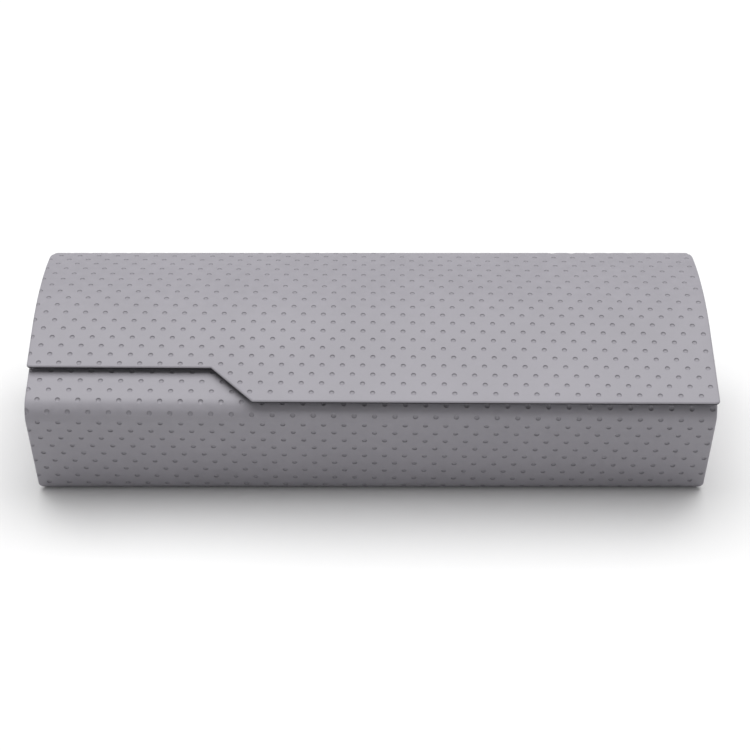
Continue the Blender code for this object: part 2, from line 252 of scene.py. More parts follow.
def flat_tree(places):
    """Search tree of flat places."""
    tree = kdtree.KDTree(len(places))
    for k, place in enumerate(places):
        tree.insert((*place, 0), k)
    tree.balance()
    return tree


def dot_centres(low, high, half_length):
    """Centres (x, along) of the dimples between two lengths along the wrap."""
    found = []
    for row in range(-14, 60):
        along = FIRST_ROW + ROW_PITCH * row
        along += (FRONT_ROW_PITCH - ROW_PITCH) * max(0, row - FRONT_ROWS_FROM)
        along -= LID_BOW * max(0, 1 - ((row - LID_BOW_ROW) / LID_BOW_ROWS) ** 2)
        slope = LID_TILT + TRAY_TILT_EXTRA * min(max((row - TILT_FROM_ROW) / TILT_ROWS, 0), 1)
        phase = DOT_PHASE + DOT_DRIFT * along + (row % 2) * DOT_PITCH / 2
        for column in range(-18, 18):
            x = phase + column * DOT_PITCH
            centre = (x, along - slope * x)
            if abs(x) < half_length and low < centre[1] < high:
                found.append(centre)
    return found


def seam_clear(centres, seams):
    """Dimples that no seam cuts."""
    return [c for c in centres if all(abs(c[1] - seam) > DOT_RINGS[0] for seam in seams)]


class Dimples:
    """Depth of the embossing at any place of a flat layout."""

    def __init__(self, centres):
        self.centres = centres
        self.tree = flat_tree(centres)

    def depth(self, points):
        if not self.centres:
            return np.zeros(len(points))
        apart = np.array([self.tree.find((p[0], p[1], 0))[2] for p in points])
        return DOT_DEPTH * smooth((DOT_RIM - apart) / (DOT_RIM - DOT_FLOOR))


def ring_points(centres, sides, radii):
    """Points of the rings round each centre, and the centres."""
    made = list(centres)
    for radius in radii:
        for k in range(sides):
            turn = 2 * math.pi * (k + 0.5) / sides
            made += [(x + radius * math.cos(turn), v + radius * math.sin(turn))
                     for x, v in centres]
    return made


# ---- outlines of sheets in a flat layout ----
CORNER_POINTS = 6


def cross_2d(a, b):
    return a[0] * b[1] - a[1] * b[0]


def corner_outline(corners):
    """Outline with rounded corners. Each corner is (x, along, radius, step, seam), and step and
    seam belong to the edge that leaves it; a seam edge isn't moved by an inset.
    Returns a function of the inset, and a flag for the points inside seam edges."""
    spots = [np.array(c[:2]) for c in corners]
    count = len(corners)
    edges = [spots[(k + 1) % count] - spots[k] for k in range(count)]
    lengths = [np.linalg.norm(e) for e in edges]
    edges = [e / length for e, length in zip(edges, lengths)]
    normals = [np.array((-e[1], e[0])) for e in edges]
    pieces = [max(1, round(length / c[3])) for length, c in zip(lengths, corners)]

    def at(inset):
        moves = [0 if c[4] else inset for c in corners]
        arcs = []
        for k in range(count):
            before = edges[k - 1]
            after = edges[k]
            a = spots[k] + normals[k - 1] * moves[k - 1]
            b = spots[k] + normals[k] * moves[k]
            spot = a + before * (cross_2d(b - a, after) / cross_2d(before, after))
            radius = corners[k][2]
            if not radius:
                arcs.append([spot])
                continue
            turn = math.atan2(cross_2d(before, after), before @ after)
            side = 1 if turn > 0 else -1
            radius = max(radius - side * inset, 0.02 * MM)
            first = spot - before * radius * math.tan(abs(turn) / 2)
            centre = first + normals[k - 1] * side * radius
            bow = []
            for m in range(CORNER_POINTS):
                c, s = (f(turn * m / (CORNER_POINTS - 1)) for f in (math.cos, math.sin))
                arm = first - centre
                bow.append(centre + np.array((c * arm[0] - s * arm[1], s * arm[0] + c * arm[1])))
            arcs.append(bow)
        points = []
        for k in range(count):
            points += arcs[k]
            first = arcs[k][-1]
            last = arcs[(k + 1) % count][0]
            points += [first + (last - first) * j / pieces[k] for j in range(1, pieces[k])]
        return np.array(points)

    seam = []
    for k in range(count):
        seam += [False] * (CORNER_POINTS if corners[k][2] else 1)
        seam += [bool(corners[k][4])] * (pieces[k] - 1)
    return at, np.array(seam)


def line_outline(points):
    """Outline given by its points, counter-clockwise. Returns as corner_outline does."""
    before = points - np.roll(points, 1, 0)
    before /= np.linalg.norm(before, axis=1)[:, None]
    after = np.roll(before, -1, 0)
    normal = np.stack([-(before + after)[:, 1], (before + after)[:, 0]], 1)
    normal /= np.linalg.norm(normal, axis=1)[:, None]
    lean = np.abs(normal[:, 0] * -before[:, 1] + normal[:, 1] * before[:, 0])
    normal /= np.maximum(lean, 0.6)[:, None]
    return (lambda inset: points + normal * inset), np.zeros(len(points), bool)


# ---- cross-sections of turned edges ----
# each station is (inset, depth, inset if unrolled, push in, push down, weight of the painted gap
# shadow)
ROUNDING = 0.00045
SOFT_ROUNDING = 0.00014


def rounded(radius):
    """A quarter turn of a radius, from the flat top round to the side."""
    section = []
    for k in range(5):
        turn = math.radians(22.5 * k)
        section.append((radius * (1 - math.sin(turn)), radius * (1 - math.cos(turn)),
                        radius * (1 - turn), math.sin(turn), math.cos(turn), 0))
    return section


def plain(*spots, ink=0):
    """Stations that carry no dimples, given in millimetres."""
    return [(inset * MM, depth * MM, 0, 0, 0, ink) for inset, depth in spots]


# the lid edge's stations with weight 1 take a painted shadow: near black where the dark gap under
# the flap's front edge lies
LID_EDGE = rounded(ROUNDING)[:-1] + plain(
    (0.0, 0.42), (0.04, 0.62), (0.15, 0.80), (0.35, 0.92), (0.9, 1.0), ink=1) + plain(
    (1.3, 1.38), (1.8, 1.66), (2.2, 1.7), (3.2, 1.7), (3.3, 1.6), (3.3, 1.25), (1.28, 1.2),
    (1.28, 0.5))
TRAY_EDGE = rounded(ROUNDING) + plain(
    (0, 1.25), (0.06, 1.48), (0.22, 1.64), (0.45, 1.7), (1.8, 1.7), (1.9, 1.6), (1.9, 1.3),
    (0.6, 1.3), (0.6, 0.5))
STRIP_EDGE = rounded(ROUNDING) + plain((0.06, 0.48), (0.3, 0.5))
PANEL_EDGE = rounded(0.0003) + plain(
    (0, 1.5), (0.1, 1.72), (0.35, 1.8), (0.5, 1.7), (0.5, 0.5))
SOFT_EDGE = rounded(SOFT_ROUNDING) + plain((0, 0.26), (0.05, 0.36), (0.14, 0.4))


# ---- closed sheets ----
def fill(loop, inner):
    """Triangles inside a loop, through the inner points. Returns the points used and faces."""
    tree = flat_tree(loop)
    inner = [p for p in inner if tree.find((p[0], p[1], 0))[2] > 0.16 * MM]
    flat = [Vector(p) * 1000 for p in (*loop, *inner)]
    made = geometry.delaunay_2d_cdt(flat, [], [list(range(len(loop)))], 1, 1e-6)
    source = [origin[0] for origin in made[3]]
    faces = [[source[v] for v in face] for face in made[2]]
    return np.array([*map(tuple, loop), *inner]), faces


def sheet(name, outline, section, inner, dimples, place, material, slot, under_rows=(),
          turned=None, shadow_paint=None):
    """Closed sheet: filled top with dimples, turned edges, plain underside."""
    at, seam = outline
    count = len(seam)
    base_loop = at(0.0)
    push = (at(0.0003) - base_loop) / 0.0003
    last_depth = section[-1][1]
    places = []
    emboss = []
    wear = []
    edge_ink = []
    for inset, depth, unrolled, push_in, push_down, ink in section:
        loop = at(inset)
        pressed = np.zeros(count)
        if push_in or push_down:
            pressed = dimples.depth(base_loop + push * unrolled)
        pressed = np.where(seam, 0, pressed)
        loop = loop + push * (push_in * pressed)[:, None]
        deep = depth + push_down * pressed
        deep = np.where(seam, np.minimum(deep, last_depth), deep)
        if turned is not None:
            deep = np.where(turned, deep, np.minimum(deep, last_depth))
        places.append(place(loop[:, 0], loop[:, 1], deep))
        emboss.append(pressed / DOT_DEPTH)
        wear.append(np.where(seam, 0, 2 * push_in * push_down))
        # painted shadow: only edges that face the front are darkened, along the gap under the flap
        facing_front = np.clip(2 * push[:, 1] - 0.4, 0, 1)
        edge_ink.append(ink * facing_front)
    faces = []
    for k in range(len(section) - 1):
        for v in range(count):
            w = (v + 1) % count
            faces.append((k * count + v, k * count + w, (k + 1) * count + w, (k + 1) * count + v))
    total = count * len(section)

    def cap(loop, start, inner_points, depth_of, flip):
        nonlocal total
        points, found = fill(loop, inner_points)
        extra = points[count:]
        deep = depth_of(extra)
        places.append(place(extra[:, 0], extra[:, 1], deep))
        for face in found:
            face = [start + v if v < count else total + v - count for v in face]
            faces.append(tuple(reversed(face)) if flip else tuple(face))
        total += len(extra)
        return deep

    emboss.append(cap(at(section[0][0]), 0, inner, dimples.depth, False) / DOT_DEPTH)
    emboss.append(cap(at(section[-1][0]), count * (len(section) - 1), under_rows,
                      lambda extra: np.full(len(extra), last_depth), True) * 0)
    plain_points = np.zeros(len(emboss[-1]) + len(emboss[-2]))
    return make_mesh(name, np.concatenate(places), faces, material, slot, shadow_paint,
                     dimple=np.concatenate(emboss),
                     wear=np.concatenate([*wear, plain_points]),
                     edge_ink=np.concatenate([*edge_ink, plain_points]))


def make_mesh(name, points, faces, material, slot, shadow_paint, **attributes):
    mesh = bpy.data.meshes.new(name)
    mesh.from_pydata([tuple(p) for p in points], [], faces)
    for key, values in attributes.items():
        mesh.attributes.new(key, "FLOAT", "POINT").data.foreach_set("value", values)
    work = bmesh.new()
    work.from_mesh(mesh)
    bmesh.ops.remove_doubles(work, verts=work.verts, dist=1e-7)
    bmesh.ops.delete(work, geom=[v for v in work.verts if not v.link_faces], context="VERTS")
    bmesh.ops.recalc_face_normals(work, faces=work.faces)
    work.to_mesh(mesh)
    work.free()
    mesh.shade_smooth()
    mesh.set_sharp_from_angle(angle=math.radians(62))
    obj = bpy.data.objects.new(name, mesh)
    bpy.context.scene.collection.objects.link(obj)
    mesh.materials.append(material)
    # faces wholly in the painted shadow along the flap's front edges take the second, near-black
    # material
    if shadow_paint:
        mesh.materials.append(shadow_paint)
        ink = [item.value for item in mesh.attributes["edge_ink"].data]
        for face in mesh.polygons:
            face.material_index = int(min(ink[v] for v in face.vertices) > 0.8)
    return obj


def bend_rows(low, high, half_length, gap_x, centres=()):
    """Points in rows across the tight bends and sparser rows elsewhere, clear of the dimples."""
    tree = flat_tree(centres)
    rows = []
    for first, length, _, _, radius in WRAP:
        step = min(2.0 * MM, radius * math.radians(7.5)) if radius else 2.8 * MM
        count = max(1, round(length / step))
        rows += [first + length * k / count for k in range(count)]
    found = []
    columns = round(2 * half_length / gap_x)
    for along in rows:
        if low < along < high:
            for k in range(1, columns):
                point = (-half_length + 2 * half_length * k / columns, along)
                if not centres or tree.find((*point, 0))[2] > 1.05 * MM:
                    found.append(point)
    return found


# ---- materials ----
def new_material(name):
    material = bpy.data.materials.new(name)
    material.use_nodes = True
    return material, material.node_tree.nodes, material.node_tree.links


def node(nodes_of, kind, **settings):
    made = nodes_of.new(kind)
    for key, value in settings.items():
        if key in made.inputs:
            made.inputs[key].default_value = value
        else:
            setattr(made, key, value)
    return made


def remap(made, links, source, low, high, start=0.0, end=1.0):
    """Node that maps the range start to end of a source onto low to high."""
    ranged = node(made, "ShaderNodeMapRange")
    ranged.inputs["From Min"].default_value = start
    ranged.inputs["From Max"].default_value = end
    ranged.inputs["To Min"].default_value = low
    ranged.inputs["To Max"].default_value = high
    links.new(source, ranged.inputs["Value"])
    return ranged


def add_bump(made, links, source, shader, strength, distance):
    bump = node(made, "ShaderNodeBump", Strength=strength, Distance=distance)
    links.new(source, bump.inputs["Height"])
    links.new(bump.outputs["Normal"], shader.inputs["Normal"])


def add_ramp(made, links, source, shader, low, low_color, high, high_color):
    """Base colour between two colours."""
    ramp = node(made, "ShaderNodeValToRGB")
    ramp.color_ramp.elements[0].position = low
    ramp.color_ramp.elements[0].color = (*low_color, 1)
    ramp.color_ramp.elements[1].position = high
    ramp.color_ramp.elements[1].color = (*high_color, 1)
    links.new(source, ramp.inputs["Fac"])
    links.new(ramp.outputs["Color"], shader.inputs["Base Color"])


def leather_material(name, color):
    """Embossed grained leather, with painted shade on the walls of its dimples, a painted shadow
    along the flap's front edges, and lighter on worn edges.
    """
    material, made, links = new_material(name)
    shader = made["Principled BSDF"]
    shader.inputs["Specular IOR Level"].default_value = 0.42
    shader.inputs["Sheen Weight"].default_value = 0.03
    coords = node(made, "ShaderNodeTexCoord")
    dimple = node(made, "ShaderNodeAttribute", attribute_name="dimple")
    wear = node(made, "ShaderNodeAttribute", attribute_name="wear")
    ink = node(made, "ShaderNodeAttribute", attribute_name="edge_ink")
    cells = node(made, "ShaderNodeTexVoronoi", feature="DISTANCE_TO_EDGE", Scale=2600.0)
    pores = node(made, "ShaderNodeTexNoise", Scale=5200.0, Detail=3.0, Roughness=0.6)
    cloud = node(made, "ShaderNodeTexNoise", Scale=38.0, Detail=4.0, Roughness=0.55)
    mottle = node(made, "ShaderNodeTexNoise", Scale=420.0, Detail=3.0, Roughness=0.6)
    for texture in (cells, pores, cloud, mottle):
        links.new(coords.outputs["Object"], texture.inputs["Vector"])

    tone = remap(made, links, cloud.outputs["Fac"], 0.965, 1.03, 0.3, 0.7)
    fine = remap(made, links, mottle.outputs["Fac"], 0.97, 1.03, 0.3, 0.7)
    both = node(made, "ShaderNodeMath", operation="MULTIPLY")
    links.new(tone.outputs["Result"], both.inputs[0])
    links.new(fine.outputs["Result"], both.inputs[1])
    # painted shade: the base colour is darkened in a ring on the walls of the dimples, where shade
    # falls
    outside = node(made, "ShaderNodeMath", operation="MULTIPLY_ADD")
    outside.inputs[1].default_value = -1.0
    outside.inputs[2].default_value = 1.1
    links.new(dimple.outputs["Fac"], outside.inputs[0])
    ring = node(made, "ShaderNodeMath", operation="MULTIPLY")
    links.new(dimple.outputs["Fac"], ring.inputs[0])
    links.new(outside.outputs[0], ring.inputs[1])
    shade = node(made, "ShaderNodeMath", operation="MULTIPLY_ADD")
    shade.inputs[1].default_value = -0.95
    shade.inputs[2].default_value = 1.0
    links.new(ring.outputs[0], shade.inputs[0])
    worn = node(made, "ShaderNodeMath", operation="MULTIPLY_ADD")
    worn.inputs[1].default_value = 0.06
    links.new(wear.outputs["Fac"], worn.inputs[0])
    links.new(shade.outputs[0], worn.inputs[2])
    level = node(made, "ShaderNodeMath", operation="MULTIPLY")
    links.new(both.outputs[0], level.inputs[0])
    links.new(worn.outputs[0], level.inputs[1])
    tint = node(made, "ShaderNodeVectorMath", operation="SCALE")
    tint.inputs[0].default_value = color
    links.new(level.outputs[0], tint.inputs["Scale"])
    # painted shadow: near black is mixed into the base colour along the flap's front edges, where
    # the gap under the flap is dark
    edge_shadowed = node(made, "ShaderNodeMix", data_type="RGBA")
    edge_shadowed.inputs["B"].default_value = (*GAP_SHADOW_COLOR, 1)
    links.new(ink.outputs["Fac"], edge_shadowed.inputs["Factor"])
    links.new(tint.outputs["Vector"], edge_shadowed.inputs["A"])
    links.new(edge_shadowed.outputs["Result"], shader.inputs["Base Color"])

    rough = remap(made, links, mottle.outputs["Fac"], 0.50, 0.58, 0.3, 0.7)
    links.new(rough.outputs["Result"], shader.inputs["Roughness"])

    height = remap(made, links, cells.outputs["Distance"], 0.0, 1.0, 0.0, 0.25)
    blend_height = node(made, "ShaderNodeMath", operation="MULTIPLY_ADD")
    blend_height.inputs[1].default_value = 0.5
    links.new(pores.outputs["Fac"], blend_height.inputs[0])
    links.new(height.outputs["Result"], blend_height.inputs[2])
    add_bump(made, links, blend_height.outputs[0], shader, 0.35, 0.00002)
    return material


def shadow_paint_material(name, color):
    """Matt near-black surface for the painted shadow on the flap's front edges, a little uneven."""
    material, made, links = new_material(name)
    shader = made["Principled BSDF"]
    shader.inputs["Base Color"].default_value = (*color, 1)
    shader.inputs["Specular IOR Level"].default_value = 0.10
    coords = node(made, "ShaderNodeTexCoord")
    brushed = node(made, "ShaderNodeTexNoise", Scale=900.0, Detail=3.0)
    links.new(coords.outputs["Object"], brushed.inputs["Vector"])
    rough = remap(made, links, brushed.outputs["Fac"], 0.65, 0.95)
    links.new(rough.outputs["Result"], shader.inputs["Roughness"])
    add_bump(made, links, brushed.outputs["Fac"], shader, 0.3, 0.00003)
    return material


def flannel_material(name, color):
    """Short-napped dark cloth."""
    material, made, links = new_material(name)
    shader = made["Principled BSDF"]
    shader.inputs["Specular IOR Level"].default_value = 0.15
    shader.inputs["Sheen Weight"].default_value = 0.22
    shader.inputs["Sheen Roughness"].default_value = 0.45
    coords = node(made, "ShaderNodeTexCoord")
    stretch = node(made, "ShaderNodeMapping")
    stretch.inputs["Scale"].default_value = (1.0, 2.4, 2.4)
    links.new(coords.outputs["Object"], stretch.inputs["Vector"])
    fibres = node(made, "ShaderNodeTexNoise", Scale=2400.0, Detail=5.0, Roughness=0.7,
                  Distortion=0.8)
    links.new(stretch.outputs["Vector"], fibres.inputs["Vector"])
    nap = node(made, "ShaderNodeTexNoise", Scale=420.0, Detail=4.0, Roughness=0.6)
    links.new(coords.outputs["Object"], nap.inputs["Vector"])
    mix = node(made, "ShaderNodeMath", operation="MULTIPLY_ADD")
    mix.inputs[1].default_value = 0.3
    links.new(nap.outputs["Fac"], mix.inputs[0])
    links.new(fibres.outputs["Fac"], mix.inputs[2])
    add_ramp(made, links, mix.outputs[0], shader, 0.42, [c * 0.6 for c in color], 0.88,
             [c * 1.5 for c in color])
    rough = remap(made, links, nap.outputs["Fac"], 0.86, 1.0)
    links.new(rough.outputs["Result"], shader.inputs["Roughness"])
    add_bump(made, links, fibres.outputs["Fac"], shader, 0.8, 0.0001)
    return material


def metal_material(name, color, roughness, brushing):
    """Metal with fine rolling marks along X and faint stains."""
    material, made, links = new_material(name)
    shader = made["Principled BSDF"]
    shader.inputs["Metallic"].default_value = 1.0
    coords = node(made, "ShaderNodeTexCoord")
    stretch = node(made, "ShaderNodeMapping")
    stretch.inputs["Scale"].default_value = (0.02, 1.0, 1.0)
    links.new(coords.outputs["Object"], stretch.inputs["Vector"])
    marks = node(made, "ShaderNodeTexNoise", Scale=9000.0, Detail=3.0, Roughness=0.6)
    links.new(stretch.outputs["Vector"], marks.inputs["Vector"])
    stains = node(made, "ShaderNodeTexNoise", Scale=90.0, Detail=4.0, Roughness=0.6)
    links.new(coords.outputs["Object"], stains.inputs["Vector"])
    add_ramp(made, links, stains.outputs["Fac"], shader, 0.3, [c * 0.82 for c in color], 0.7,
             color)
    rough = remap(made, links, marks.outputs["Fac"], roughness - 0.08, roughness + 0.12)
    links.new(rough.outputs["Result"], shader.inputs["Roughness"])
    add_bump(made, links, marks.outputs["Fac"], shader, brushing, 0.00001)
    return material


def card_material(name):
    """Grey pressed board with flecks."""
    material, made, links = new_material(name)
    shader = made["Principled BSDF"]
    coords = node(made, "ShaderNodeTexCoord")
    flecks = node(made, "ShaderNodeTexVoronoi", Scale=1300.0)
    pulp = node(made, "ShaderNodeTexNoise", Scale=700.0, Detail=5.0, Roughness=0.7)
    links.new(coords.outputs["Object"], flecks.inputs["Vector"])
    links.new(coords.outputs["Object"], pulp.inputs["Vector"])
    mix = node(made, "ShaderNodeMath", operation="MULTIPLY")
    links.new(flecks.outputs["Distance"], mix.inputs[0])
    links.new(pulp.outputs["Fac"], mix.inputs[1])
    add_ramp(made, links, mix.outputs[0], shader, 0.1, (0.24, 0.22, 0.20), 0.45,
             (0.36, 0.34, 0.31))
    rough = remap(made, links, pulp.outputs["Fac"], 0.8, 0.98)
    links.new(rough.outputs["Result"], shader.inputs["Roughness"])
    add_bump(made, links, pulp.outputs["Fac"], shader, 0.5, 0.00004)
    return material


LEATHER_COLOR = (0.301, 0.290, 0.320)
# near black of the painted shadow along the flap's front edges
GAP_SHADOW_COLOR = (0.012, 0.012, 0.014)
leather = leather_material("grey_leather", LEATHER_COLOR)
# material of the painted shadow on the flap's front edges
gap_shadow_paint = shadow_paint_material("gap_shadow_paint", GAP_SHADOW_COLOR)
flannel = flannel_material("charcoal_flannel", (0.050, 0.050, 0.056))
steel = metal_material("rolled_steel", (0.55, 0.56, 0.58), 0.38, 0.5)
plating = metal_material("nickel_plating", (0.72, 0.71, 0.69), 0.24, 0.15)
board = card_material("greyboard")

# ---- leather of the lid ----
FINE = 0.3 * MM   # spacing of the outline's points on the flap's front edges
SIDE = 0.45 * MM  # on the other free edges
SEAM = 1.5 * MM   # where two sheets meet

lid_corners = [
    (-LID_END, LID_SHEET_END, 0, SIDE, False),
    (-LID_END, SHORT_EDGE + SHORT_EDGE_SKEW, 0.7 * MM, FINE, False),
    (STEP_START_X, SHORT_EDGE, 0.3 * MM, FINE, False),
    (STEP_END_X, LONG_EDGE_SKEW, 0.4 * MM, FINE, False),
    (LID_END, 0.0, 1.1 * MM, SIDE, False),
    (LID_END, LID_SHEET_END, 0, SEAM, True),
]
seams = (LID_SHEET_END, TRAY_SHEET_START)
every_dot = seam_clear(dot_centres(-3 * MM, WRAP_END + 3 * MM, LID_END + 2 * MM), seams)
lid_outline = corner_outline(lid_corners)
lid_edge = lid_outline[0](0.0)
lid_front = lid_edge[lid_edge[:, 1] < SHORT_EDGE + MM]
lid_dots = [c for c in every_dot if c[1] < LID_SHEET_END
            and np.linalg.norm(lid_front - c, axis=1).min() > 0.95 * MM]
lid_inner = ring_points(lid_dots, 12, DOT_RINGS) + bend_rows(0, LID_SHEET_END, LID_END, 2.4 * MM,
                                                              lid_dots)
# the flap's front edge faces carry the painted shadow
lid_leather = sheet("lid_leather", lid_outline, LID_EDGE, lid_inner,
                    Dimples(lid_dots), on_wrap, leather, "leather",
                    bend_rows(0, LID_SHEET_END, LID_END, 8 * MM), shadow_paint=gap_shadow_paint)
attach(lid_leather, "lid")
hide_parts("lid_cover")

# ---- leather of the tray ----
tray_corners = [
    (-TRAY_END, WRAP_END, 0.8 * MM, SIDE, False),
    (-TRAY_END, TRAY_SHEET_START, 0, SEAM, True),
    (TRAY_END, TRAY_SHEET_START, 0, SIDE, False),
    (TRAY_END, WRAP_END, 0.8 * MM, 0.6 * MM, False),
]
tray_dots = [c for c in every_dot if c[1] > TRAY_SHEET_START]
base_dots = [c for c in tray_dots if REAR_BEND[0] < c[1] < FRONT_BEND[0]]
wall_dots = [c for c in tray_dots if c not in base_dots]
tray_inner = ring_points(wall_dots, 12, DOT_RINGS) + ring_points(base_dots, 8, DOT_RINGS[1:])
tray_inner += bend_rows(TRAY_SHEET_START, WRAP_END, TRAY_END, 2.4 * MM, tray_dots)
tray_leather = sheet("tray_leather", corner_outline(tray_corners), TRAY_EDGE, tray_inner,
                     Dimples(tray_dots), on_wrap, leather, "leather",
                     bend_rows(TRAY_SHEET_START, WRAP_END, TRAY_END, 8 * MM))
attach(tray_leather, "tray")
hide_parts("tray_cover")

# ---- leather hinge: the strip round the hinge bend, between the tray and the lid ----
def blend_ends():
    """Where the hinge stops following the tray and where it starts following the lid."""
    y, z = wrap([TRAY_SHEET_START, LID_SHEET_END], COVER / 2)
    low = Vector((0, y[0], z[0]))
    high = Vector((0, y[1], z[1]))
    return low.lerp(high, 0.12), high.lerp(low, 0.12)


def strip(name, half_length, low, high, section, dimples, inner, place, material, slot, seam):
    """A strip of the wrap from end to end, between two lengths along it."""
    corners = [(-half_length, high, 0, SIDE, False), (-half_length, low, 0, SEAM, seam),
               (half_length, low, 0, SIDE, False), (half_length, high, 0, SEAM, seam)]
    return sheet(name, corner_outline(corners), section, inner, dimples, place, material, slot,
                 bend_rows(low, high, half_length, 8 * MM))


hinge_start, hinge_end = blend_ends()
hinge_dots = [c for c in every_dot if LID_SHEET_END < c[1] < TRAY_SHEET_START]
hinge_inner = ring_points(hinge_dots, 12, DOT_RINGS)
hinge_inner += bend_rows(LID_SHEET_END, TRAY_SHEET_START, TRAY_END, 2.4 * MM, hinge_dots)
hinge_leather = strip("hinge_strip", TRAY_END, LID_SHEET_END, TRAY_SHEET_START, STRIP_EDGE,
                      Dimples(hinge_dots), hinge_inner, on_wrap, leather, "leather", True)
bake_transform(hinge_leather)
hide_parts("hinge_leather")

# ---- flannel lining ----
LINED_END = END_FACE_X - 0.0002
no_dots = Dimples([])


def lining_place(x, along, depth):
    """The lining's napped face looks into the case, so its depth runs outwards."""
    return on_wrap(x, along, LINING_BOTTOM - depth)


def lining_strip(name, low, high):
    return strip(name, LINED_END, low, high, SOFT_EDGE, no_dots,
                 bend_rows(low, high, LINED_END, 2.4 * MM), lining_place, flannel, "flannel",
                 False)


tray_lining = lining_strip("tray_lining_sheet", TRAY_SHEET_START + 1.2 * MM, WRAP_END - 2.0 * MM)
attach(tray_lining, "tray")
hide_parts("tray_lining")
hinge_lining = lining_strip("hinge_lining_strip", LID_SHEET_END - 0.9 * MM,
                            TRAY_SHEET_START + 1.0 * MM)
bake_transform(hinge_lining)
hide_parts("hinge_lining")

LID_LINING_INSET = 0.0034
LID_LINING_END = LID_SHEET_END - 1.1 * MM
lining_corners = [(c[0], LID_LINING_END if c[1] == LID_SHEET_END else c[1], *c[2:])
                  for c in lid_corners]
lining_at, lining_seam = corner_outline(lining_corners)
lid_lining = sheet("lid_lining_sheet", (lambda inset: lining_at(inset + LID_LINING_INSET),
                                        lining_seam), SOFT_EDGE,
                   bend_rows(0, LID_LINING_END, LID_END, 2.4 * MM), no_dots, lining_place,
                   flannel, "flannel", bend_rows(0, LID_LINING_END, LID_END, 8 * MM))
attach(lid_lining, "lid")
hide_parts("lid_lining")


# ---- end panels ----
PANEL_ROWS = 14
PANEL_FIRST_ROW = 0.0022


def rear_top(top):
    """Length along the wrap of an end panel's rear top corner, at a depth under the lid."""
    centre = Vector((PEAK.x, PEAK.y - LID_REAR_RADIUS))
    wall_y, wall_z = wrap(REAR_WALL[0] + 1e-8, LINING_TOP)
    wall = Vector((float(wall_y), float(wall_z)))
    direction = heading_vector(REAR_WALL[3])
    offset = wall - centre
    half = offset.dot(direction)
    reach = LID_REAR_RADIUS - top
    past = -half - math.sqrt(half * half - offset.dot(offset) + reach * reach)
    return REAR_WALL[0] + past


def panel_outline(top, step):
    """Outline of an end panel in (y, z), counter-clockwise, and a flag for its arched edge."""
    start = rear_top(top)
    lower = np.stack(wrap(np.linspace(start, WRAP_END, round((WRAP_END - start) / step)),
                          LINING_TOP), 1)
    slide = heading_vector(FLAP_SLOPE) * REST_GAP
    lower[-1] += slide
    foot = np.array(wrap(WRAP_END, 0)).ravel() + slide
    first = float(np.linalg.norm(foot - np.array(wrap(0.0, FLAP_RISE)).ravel()))
    count = round((HINGE[0] - first) / step)
    upper = np.stack(wrap(np.linspace(first, HINGE[0], count), top), 1)
    points = np.concatenate([lower, upper])[::-1]
    arched = np.concatenate([np.zeros(len(lower), bool), np.ones(len(upper), bool)])[::-1]
    before = points - np.roll(points, 1, 0)
    heading = np.arctan2(before[:, 1], before[:, 0])
    turn = np.abs(np.angle(np.exp(1j * (np.roll(heading, -1) - heading))))
    corners = points[turn > math.radians(22)]
    apart = np.linalg.norm(points[:, None] - corners[None], axis=2).min(1)
    kept = (apart == 0) | (apart > 1.5 * MM)
    return points[kept], arched[kept]


def inside(points, y, z):
    """Whether a place is inside a closed outline."""
    crossings = 0
    for (y0, z0), (y1, z1) in zip(points, np.roll(points, -1, 0)):
        if (z0 > z) != (z1 > z) and y < y0 + (z - z0) * (y1 - y0) / (z1 - z0):
            crossings += 1
    return crossings % 2 == 1


def panel_dots(points):
    """Staggered dimples well inside a panel."""
    tree = flat_tree(points)
    found = []
    for row in range(PANEL_ROWS):
        z = PANEL_FIRST_ROW + ROW_PITCH * row
        for column in range(-8, 8):
            y = column * DOT_PITCH + (row % 2) * DOT_PITCH / 2
            apart = tree.find((y, z, 0))[2]
            if apart > 1.1 * MM and inside(points, y, z):
                found.append((y, z))
    return found


panel_points, panel_arched = panel_outline(FLAP_RISE, SIDE)
end_dots = panel_dots(panel_points)
end_inner = ring_points(end_dots, 12, DOT_RINGS)
lining_points, _ = panel_outline(FLAP_RISE + 0.7 * MM, SIDE)
for side, word in ((-1, "left"), (1, "right")):
    panel = sheet(f"end_leather_{word}", line_outline(panel_points), PANEL_EDGE, end_inner,
                  Dimples(end_dots), on_end(side, END_COVER_X), leather, "leather",
                  turned=panel_arched)
    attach(panel, "tray")
    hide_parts(f"end_cover_{word}")
    cloth = sheet(f"end_lining_sheet_{word}", line_outline(lining_points), SOFT_EDGE, [],
                  no_dots, on_end(side, END_FACE_X), flannel, "flannel")
    for vertex in cloth.data.vertices:
        vertex.co.x = 2 * side * END_FACE_X - vertex.co.x
    cloth.data.flip_normals()
    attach(cloth, "tray")
    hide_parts(f"end_lining_{word}")


